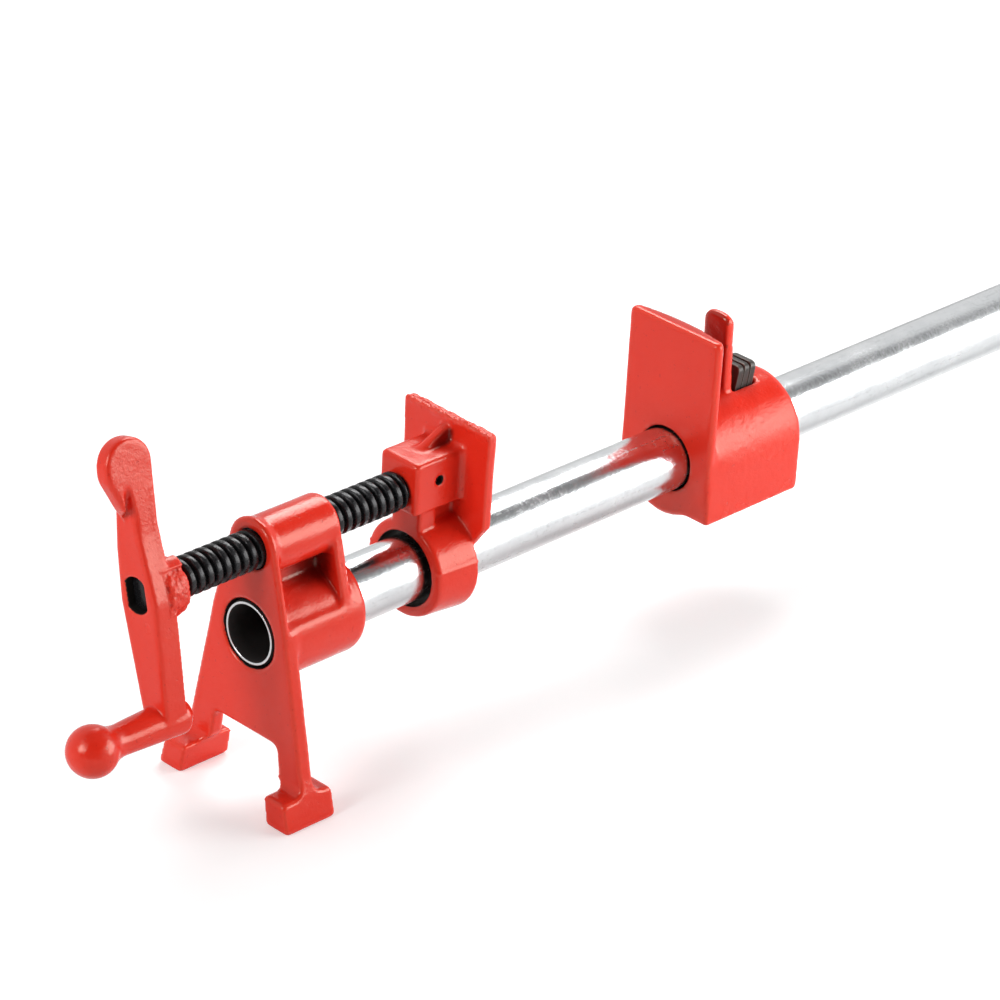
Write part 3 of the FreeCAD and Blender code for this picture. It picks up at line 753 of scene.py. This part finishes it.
def spring_steel(tree):
    steel = placed_group(tree, WORKED_STEEL, Along=0.8)
    grey = blend_colours(steel["Streaks"], (0.16, 0.16, 0.17, 1), (0.34, 0.34, 0.35, 1))
    return times(steel["Streaks"], 0.02), {
        "Base Color": grey, "Metallic": 1.0,
        "Roughness": ramp_between(steel["Smudge"], 0.3, 0.7, 0.26, 0.44)}


BLACK_OXIDE = new_finish("black_steel", black_oxide)
PLATE_STEEL = new_finish("plate_steel", plate_steel)
SPRING_STEEL = new_finish("spring_steel", spring_steel)
print("steels ready")

# %% [markdown]
# ## Surfaces of revolution that are not quite round
#
# The pipe, the screw and the spring are all grids of rings: one parameter walks along the
# piece and the other goes round it. When every ring has the same number of points the faces
# are plain arithmetic on row and column numbers, and an end is closed with a fan to a point
# in its middle.

# %% Grids of rings
AROUND = 96
ANGLES = np.linspace(0, 2 * np.pi, AROUND, endpoint=False)


def mesh_from(name, points, face_sets):
    """A mesh from an (n, 3) array in maker's millimetres and arrays of faces of one size each."""
    loops = np.concatenate([faces.ravel() for faces in face_sets]).astype(np.int32)
    sizes = np.concatenate([np.full(len(faces), faces.shape[1]) for faces in face_sets])
    starts = np.concatenate([[0], np.cumsum(sizes)[:-1]]).astype(np.int32)
    mesh = bpy.data.meshes.new(name)
    mesh.vertices.add(len(points))
    mesh.vertices.foreach_set("co", to_frame(points).astype(np.float32).ravel())
    mesh.loops.add(len(loops))
    mesh.loops.foreach_set("vertex_index", loops)
    mesh.polygons.add(len(sizes))
    mesh.polygons.foreach_set("loop_start", starts)
    mesh.update(calc_edges=True)
    mesh.validate()
    return mesh


def ring_faces(rows, columns, closed=False):
    """Quads between neighbouring rings: (i, j), (i, j+1), (i+1, j+1), (i+1, j), j wrapping.
    Closed joins the last ring to the first too, by wrapping i."""
    i, j = np.meshgrid(np.arange(rows - 1 + closed), np.arange(columns), indexing="ij")
    here, after = i * columns + j, i * columns + (j + 1) % columns
    corners = [here, after, after + columns, here + columns]
    return np.stack([c.ravel() for c in corners], axis=1) % (rows * columns)


def fan_faces(ring_start, columns, centre, forwards):
    """Triangles from one ring to a centre point, facing along the path or against it."""
    j = np.arange(columns)
    here, after = ring_start + j, ring_start + (j + 1) % columns
    order = (here, after) if forwards else (after, here)
    return np.stack([*order, np.full(columns, centre)], axis=1)


def capped_faces(rows, columns, flip=False):
    """The quads of a tube and a fan over each end. Its two centre points come after the rings.
    Flip where the rings run the other way round the path."""
    quads = ring_faces(rows, columns)
    centre, last = rows * columns, (rows - 1) * columns
    return [quads[:, ::-1] if flip else quads, fan_faces(0, columns, centre, flip),
            fan_faces(last, columns, centre + 1, not flip)]


def turned_points(stations, radii, z):
    """x = station, y = r cos(angle), z = r sin(angle) + z0, for radii of shape (rows, AROUND)."""
    x = np.broadcast_to(stations[:, None], radii.shape)
    ring = [x, radii * np.cos(ANGLES), radii * np.sin(ANGLES) + z]
    return np.stack(ring, axis=2).reshape(-1, 3)


print("rings of", AROUND, "points")

# %% [markdown]
# ## The screw spindle
#
# The screw is a right-handed trapezoidal thread, 16 mm across with 4.4 mm of travel a turn.
# On a grid of rings the radius depends on one number only: the phase, which is the distance
# along the screw in turns minus the angle in turns. A crest runs where the phase is near a
# whole number, so the ridge climbs by itself. The alternative, sweeping a section along a
# helix, leaves two open ends and a seam.
#
# Its front end is a round with two flats, which fits the slot in the crank. Its back end is
# the plain nose that turns in the sliding jaw, with a groove for the pin.

# %% Threads
CROWN = 0.10                  # how far a crest's middle stands above its shoulders
FLANK = (0.18, 0.54)          # a flank's foot and top, as nearness to the middle of the crest


def threaded_rings(start, end, lead, crest, root, per_turn, fade, first_crest=0.0):
    """Stations and radii of a thread that fades out into a plain core at both ends, and its
    height from 0 to 1. Nearness is 1 where the phase is whole and 0 halfway. The height is a
    soft step of it, and radius = root + (depth + crown * nearness^2) * height."""
    stations = np.linspace(start, end, int((end - start) / lead * per_turn) + 1)
    phase = (stations[:, None] - first_crest) / lead - ANGLES[None, :] / (2 * np.pi)
    nearness = 2 * np.abs((phase % 1.0) - 0.5)
    height = soft_step(nearness, *FLANK)
    ends = soft_step(stations - start, 0, fade) * soft_step(end - stations, 0, fade)
    radii = root + (crest - root - CROWN) * height + CROWN * nearness ** 2 * height
    return stations, root + (radii - root) * ends[:, None], height * ends[:, None]


def joined_rings(before, stations, radii, after):
    """Rings as (station, radius) pairs before and after a thread's own, all as two arrays."""
    plain = np.ones(AROUND)
    return (np.concatenate([[x for x, _ in before], stations, [x for x, _ in after]]),
            np.vstack([[r * plain for _, r in before], radii, [r * plain for _, r in after]]))


def on_thread(mesh, rings_before, values):
    """A mask that holds the values on the thread's rings and 0 on all others."""
    whole = np.zeros(len(mesh.vertices))
    start = rings_before * AROUND
    whole[start:start + values.size] = values.ravel()
    return whole


print("threads ready")

# %% Spindle
SCREW_LEAD = 4.4
SCREW_START = 2.40            # where along the screw a crest passes its +Y side
CREST_R, ROOT_R = 8.0, 5.9
DRIVE_R, DRIVE_HALF = 7.2, 5.2    # the front end: a round, and half the width over its flats
NOSE_R, GROOVE_R = 6.0, 2.02

thread_start, thread_end = -39.3, 75.8
# the drive's radius is the smaller of its round's and half / |cos(angle + turn)|
slant = np.maximum(np.abs(np.cos(ANGLES + CRANK_TURN)), 1e-6)
drive = np.minimum(DRIVE_R, DRIVE_HALF / slant)
front = [(-53.6, drive - 0.5), (-53.2, drive), (thread_start, drive)]
thread_x, thread_r, crest = threaded_rings(
    thread_start, thread_end, SCREW_LEAD, CREST_R, ROOT_R, 18, 1.6, SCREW_START)
nose = [(thread_end, NOSE_R), (86.9, NOSE_R), (86.9, GROOVE_R), (90.9, GROOVE_R),
        (90.9, NOSE_R), (95.0, NOSE_R), (95.8, NOSE_R - 0.8)]
stations, radii = joined_rings(front, thread_x, thread_r, nose)
middles = [[stations[0], 0, SCREW_Z], [stations[-1], 0, SCREW_Z]]
points = np.vstack([turned_points(stations, radii, SCREW_Z), middles])
mesh = mesh_from("spindle_thread", points, capped_faces(len(stations), AROUND))
write_masks(mesh, crest=on_thread(mesh, len(front), crest))
finish_piece("spindle_thread", mesh, "spindle", [BLACK_OXIDE], "spindle")

# %% [markdown]
# ## The pipe
#
# Pipe is bought ready threaded. One end sits in the head. It was cut square, so a narrow
# bright rim shows round a hole painted black as shade, and its outer bevel, deep in the
# head, is painted dark as shade too.
# The other end, far behind the tail stop, carries a fine thread that runs out shallow where
# the die stopped. One closed walk gives the whole tube: in along the bore, round the near
# rim, over the bevel, back along the outside and over the thread. The long plain stretch
# ends in two rings close together, or its smooth shading would bend far ahead of the step.

# %% Pipe
PIPE_R = 13.335
BORE_R = 11.4
PIPE_END = 610.0
PIPE_PITCH = 25.4 / 14
PIPE_CREST_R, PIPE_ROOT_R = 13.15, 12.15
PIPE_THREAD = 19.0            # length of the stretch that is cut
RUN_OUT = 6.0                 # along this much of it the thread deepens

start = PIPE_START
thread_start, thread_end = PIPE_END - PIPE_THREAD, PIPE_END - 0.9
bore = [(PIPE_END - 0.5, BORE_R), (400, BORE_R), (200, BORE_R), (start + 6, BORE_R),
        (start + 0.9, BORE_R), (start + 0.35, BORE_R + 0.34)]
rim = [(start + 0.12, BORE_R + 0.42), (start + 0.02, BORE_R + 0.52), (start, BORE_R + 0.65),
       (start, 12.50), (start + 0.02, 12.66)]
bevel = [(start + 0.10, 12.76), (start + 1.2, 13.15), (start + 1.8, 13.30),
         (start + 2.4, PIPE_R)]
shank = [(x, PIPE_R) for x in (*np.linspace(20, thread_start - 0.7, 28), thread_start - 0.3)]
thread_x, thread_r, crest = threaded_rings(
    thread_start, thread_end, PIPE_PITCH, PIPE_CREST_R, PIPE_ROOT_R, 16, 1.2)
deepening = soft_step(thread_x - thread_start, 0.0, RUN_OUT)[:, None]
thread_r = PIPE_CREST_R + (thread_r - PIPE_CREST_R) * deepening
end = [(thread_end, PIPE_ROOT_R), (PIPE_END, 11.6), (PIPE_END, BORE_R + 0.4)]
before = bore + rim + bevel + shank
stations, radii = joined_rings(before, thread_x, thread_r, end)
mesh = mesh_from("pipe_zinc", turned_points(stations, radii, 0.0),
                 [ring_faces(len(stations), AROUND, closed=True)])
write_masks(mesh, groove=on_thread(mesh, len(before), (1 - crest) * deepening),
            cut_thread=on_thread(mesh, len(before), np.ones_like(crest)))
finish_piece("pipe_zinc", mesh, "head", [ZINC, PIPE_INSIDE], "pipe")
# the bore's rows and three rows of the bevel take this near-black, painted-shade finish
dark = np.zeros(len(mesh.polygons), np.int32)
dark[:len(bore) * AROUND] = 1
bevel_row = len(bore) + len(rim)
dark[bevel_row * AROUND:(bevel_row + 3) * AROUND] = 1
mesh.polygons.foreach_set("material_index", dark)

# %% [markdown]
# ## The head
#
# The head is the largest casting: an A-shaped stand, a boss for the pipe, a boss for the
# screw, and a pocket between them on each side. It is the smoothest of the castings, and
# only its pockets keep a trace of the sand. The hollow round the pipe's end is bare iron,
# painted near-black as shade, which reads as a black ring. Each pocket's upper back corner
# gets painted shade too.
#
# On each casting the mask of a hole begins a few tenths of a millimetre outside its wall,
# so that the black reaches the rim.

# %% Head casting
RECESS_R, SCREW_HOLE_R = 14.35, 8.3
POCKET_X, POCKET_Z = (5, 31), (8, 27)


def head_bores(points):
    """Depth inside the recess round the pipe or inside the threaded hole: radius - distance."""
    return np.maximum(RECESS_R - round_distance(points),
                      SCREW_HOLE_R - round_distance(points, SCREW_Z))


def head_coarse(points):
    """A trace of sand inside the side pockets."""
    x, _, z = points.T
    return 0.08 * (between(x, *POCKET_X) & between(z, *POCKET_Z))


def head_recess(points):
    """Painted shade in the upper back corner of each side pocket, between the web and the boss."""
    x, y, z = points.T
    back = soft_step(x, 7, 24) * (x < 33)
    high = soft_step(z, 11, 21) * (z < 28)
    return back * high * soft_step(14.0 - np.abs(y), 0, 7)


def head_soles(points, normals):
    """The soles stay flat on the bench: z is never below it."""
    points[:, 2] = np.maximum(points[:, 2], BENCH_Z)
    return points


head = cast_skin("head_casting", 0.72, 26, 11, head_coarse, head_soles, head_bores, head_recess)
finish_piece("head_painted", head, "head", [RED_ENAMEL], "head_casting")

# %% [markdown]
# ## The sliding jaw
#
# The jaw is the roughest of the castings. Its plate was never fettled along the top: metal
# that ran into the joint of the mould stands up as a ragged crest, mostly towards the head.
# A fine ridge runs along the side of its ring, where the two halves of the mould met.

# %% Sliding jaw
RING_R, SOCKET_R, PIN_HOLE_R = 15.85, 6.3, 2.15
SOCKET_END = 97.0
PIN_X, PIN_Z = 88.9, SCREW_Z + 3.9
PLATE_X = 100.2               # everything of the jaw's plate lies behind this
SEAM_HEIGHT, SEAM_Z, SEAM_WIDTH = 0.42, 5.0, 0.50


def jaw_bores(points):
    """Depth inside the ring's bore, the screw's socket or the pin hole."""
    x, _, z = points.T
    ring = RING_R - round_distance(points)
    socket = np.minimum(SOCKET_R - round_distance(points, SCREW_Z), SOCKET_END - x)
    pin = PIN_HOLE_R - np.hypot(x - PIN_X, z - PIN_Z)
    return np.maximum(np.maximum(ring, socket), pin)


def jaw_coarse(points):
    """All of the plate's top, and a little on top of the socket block."""
    x, _, z = points.T
    on_plate = soft_step(z, 56.5, 59.5) * (x > 100)
    on_block = 0.12 * soft_step(z, 49.0, 50.2) * (x < 101)
    return np.maximum(on_plate, on_block)


def jaw_recess(points):
    """Painted shade in the corner beside the rib, where the socket block meets the plate."""
    x, y, z = points.T
    corner = soft_step(x, 89, 96) * (x < 102.5) * (z > 48.9)
    beside = soft_step(-y, 1.6, 2.4) * soft_step(5.0 + y, 0, 2.5)
    return corner * beside * soft_step(57.0 - z, 0, 2)


def jaw_flash(points, normals):
    """Raises the plate's top edge by ragged noise, most on its rough side, which also bulges
    a little, and adds the mould line along the ring: height * exp(-((z - z0) / width)^2)."""
    x, _, z = points.T
    flat = points * [1, 1, 0]
    ragged = np.maximum(lattice_noise(flat, 3.1, 71) + 0.25, 0)
    ragged = ragged + 0.45 * lattice_noise(flat, 1.1, 72)
    top = soft_step(z, 58.6, 60.1) * (x > PLATE_X)
    rough_side = 0.35 + 0.65 * soft_step(104.8 - x, 0, 2.5)
    lip = soft_step(z, 57.4, 59.8) * soft_step(102.4 - x, 0, 0.8) * (x > PLATE_X)
    on_ring = between(x, 80, 102) & (round_distance(points) > 18.5)
    seam = SEAM_HEIGHT * np.exp(-((z - SEAM_Z) / SEAM_WIDTH) ** 2) * on_ring
    lifted = points.copy()
    lifted[:, 2] += 1.25 * top * rough_side * ragged
    lifted[:, 0] -= 0.75 * lip * np.maximum(ragged, 0)
    return lifted + normals * seam[:, None]


jaw = cast_skin("sliding_jaw", 0.60, 24, 23, jaw_coarse, jaw_flash, jaw_bores, jaw_recess)
finish_piece("sliding_jaw_painted", jaw, "sliding_jaw", [RED_ENAMEL], "sliding_jaw")

# %% [markdown]
# ## The crank
#
# The crank was cast in one with its ball grip. The ball is smooth, but the collar round the
# screw and the back of the thumb wing kept a pebbled skin, and the arm's near side a trace
# of it. The small flat pad on the collar's side stayed smooth, so the mask leaves it out.

# %% Crank handle
SLOT_R, SLOT_HALF = 7.40, 5.40
COLLAR_R = (8.5, 13.5)        # the collar's pebbles lie between these
PAD_OUT = 11.7                # the pad stands this far out, 45 degrees from the arm


def crank_frame(points):
    """Side and height in the crank's own upright frame, from the maker's y and z."""
    y, z = points[:, 1], points[:, 2] - SCREW_Z
    side = y * math.cos(CRANK_TURN) - z * math.sin(CRANK_TURN)
    height = y * math.sin(CRANK_TURN) + z * math.cos(CRANK_TURN)
    return side, height


def crank_coarse(points):
    x = points[:, 0]
    side, height = crank_frame(points)
    collar = 2.2 * soft_step(x, -50.6, -49.6) * between(np.hypot(side, height), *COLLAR_R)
    collar = collar * soft_step(PAD_OUT - (height - side) / math.sqrt(2), 0, 0.4)
    wing_top = soft_step(height, 8, 14) * soft_step(46 - height, 0, 8)
    wing_back = 0.55 * soft_step(x, -50.5, -48.5) * wing_top
    near_side = 0.20 * soft_step(-side, 2.6, 3.6) * soft_step(height, -46, -43)
    return np.maximum(np.maximum(collar, wing_back), near_side)


def crank_bores(points):
    """Depth inside the slot: the lesser of its round's and its flats' radius - distance."""
    side, height = crank_frame(points)
    return np.minimum(SLOT_R - np.hypot(side, height), SLOT_HALF - np.abs(side))


crank = cast_skin("crank_handle", 0.46, 22, 37, crank_coarse, None, crank_bores)
finish_piece("crank_painted", crank, "spindle", [RED_ENAMEL], "crank_handle")

# %% [markdown]
# ## The tail stop and its clutch
#
# The tail stop is a jaw plate and a barrel in one casting. Inside the barrel three steel
# plates lean on a rounded rib, and a spring keeps them leaning, so their holes bite the
# pipe. The plates' tongues stand in the slot on top, beside the thumb tab.

# %% Tail stop casting
TAIL_BORE_R, HOLLOW_R = 14.2, 21.6
HOLLOW_X = (251.6, 281.6)


def tail_bores(points):
    """Depth inside the pipe's bore or the hollow for the clutch, which is arched: round above
    the pipe's axis and straight-sided below it."""
    x, y, z = points.T
    arch = HOLLOW_R - np.where(z > 0, round_distance(points), np.abs(y))
    hollow = np.minimum(arch, np.minimum(x - HOLLOW_X[0], HOLLOW_X[1] - x))
    return np.maximum(TAIL_BORE_R - round_distance(points), hollow)


def tail_coarse(points):
    """The barrel's flanks."""
    barrel = soft_step(points[:, 0], 236, 242) * (round_distance(points) > 23)
    return 0.45 * barrel * soft_step(np.abs(points[:, 1]), 14, 20)


def tail_recess(points):
    """Painted shade in the gap between the jaw plate and the tab: the tab's front, the plate's
    back.
    """
    x, y, z = points.T
    tab_front = soft_step(256.2 - x, 0, 0.8) * (x > 252) * (np.abs(y) < 6.3)
    plate_back = 0.5 * between(x, 231.5, 245) * (np.abs(y) < 20)
    return 0.8 * np.maximum(tab_front, plate_back) * soft_step(z, 24.5, 27)


tail = cast_skin("tail_stop", 0.70, 34, 53, tail_coarse, None, tail_bores, tail_recess)
finish_piece("tail_stop_painted", tail, "tail_stop", [RED_ENAMEL], "tail_stop")

# %% Clutch plates
for number in (1, 2, 3):
    node = f"clutch_plate_{number}"
    plate = cast_skin(node, 0.36, 12, 80 + number)
    finish_piece(f"{node}_steel", plate, node, [PLATE_STEEL], node)

# %% [markdown]
# ## The clutch spring
#
# The spring is two turns of round wire. Its front turn leans with the last plate and its
# back turn sits flat on the barrel's end wall, so the pitch is not even. The wire's middle
# line goes round at one radius while X follows a list of stations, one each half turn, with
# a cosine ease between them. A ring of points is then set across that line at each step.
#
# When the thumb pushes the plates upright, they press the spring shut towards its back end.

# %% Clutch spring
SPRING_R = 16.7
WIRE_R = 0.80
WIRE_ROOM = 0.85              # from the wire's middle line to the end of the solid
WIRE_SIDES = 20
SPRING_TURNS = 2
STEPS_A_TURN = 48


def wire_rings(line):
    """A ring across each point of the line: line + r * (cos(a) * outward + sin(a) * across)."""
    outward = line * [0, 1, 1] / SPRING_R
    across = unit(np.cross(unit(np.gradient(line, axis=0)), outward))
    angle = np.linspace(0, 2 * np.pi, WIRE_SIDES, endpoint=False)[None, :, None]
    return line[:, None] + WIRE_R * (np.cos(angle) * outward[:, None]
                                     + np.sin(angle) * across[:, None])


low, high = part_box("clutch_spring")
front_end, back_end = ((end.x - FRONT_FACE[0]) / MM for end in (low, high))
# X of the wire at the bottom and top of each turn goes in even shares from the plate's
# leaning face, which is front + height * tan(lean), to the end wall
k = np.arange(2 * SPRING_TURNS + 1)
height = np.where(k % 2 == 0, -SPRING_R, SPRING_R)
front = front_end + WIRE_ROOM + SPRING_R * math.tan(PLATE_LEAN) + height * math.tan(PLATE_LEAN)
stations = front + (back_end - WIRE_ROOM - front) * k / (2 * SPRING_TURNS)
steps = STEPS_A_TURN * SPRING_TURNS + 1
half_turn = np.linspace(0, 2 * SPRING_TURNS, steps)
k = np.minimum(half_turn.astype(int), 2 * SPRING_TURNS - 1)
share = (1 - np.cos((half_turn - k) * np.pi)) / 2
x = stations[k] + (stations[k + 1] - stations[k]) * share
angle = half_turn * np.pi
line = np.stack([x, SPRING_R * np.sin(angle), -SPRING_R * np.cos(angle)], axis=1)
points = np.vstack([wire_rings(line).reshape(-1, 3), line[:1], line[-1:]])
mesh = mesh_from("clutch_spring_wire", points, capped_faces(steps, WIRE_SIDES, flip=True))
wire = finish_piece("clutch_spring_wire", mesh, "tail_stop",
                    [SPRING_STEEL], "clutch_spring")
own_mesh(wire)

# %% [markdown]
# ## The jaw pin
#
# The pin that keeps the screw's nose in the jaw is a rolled spring pin, sunk in its hole.
# Its solid already has the right shape, so it stays as it is and only gets its steel.

# %% Jaw pin
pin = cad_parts["jaw_pin"]
pin.data.materials.clear()
pin.data.materials.append(SPRING_STEEL)
print("pin dressed")

# %% [markdown]
# ## The dressed size
#
# The dressed clamp has to stay the size of the imported one. The box round everything that
# renders, the floor left out, is printed here.

# %% Sizes
low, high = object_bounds()
print("dressed", [round(1000 * (b - a), 1) for a, b in zip(low, high)], "mm")
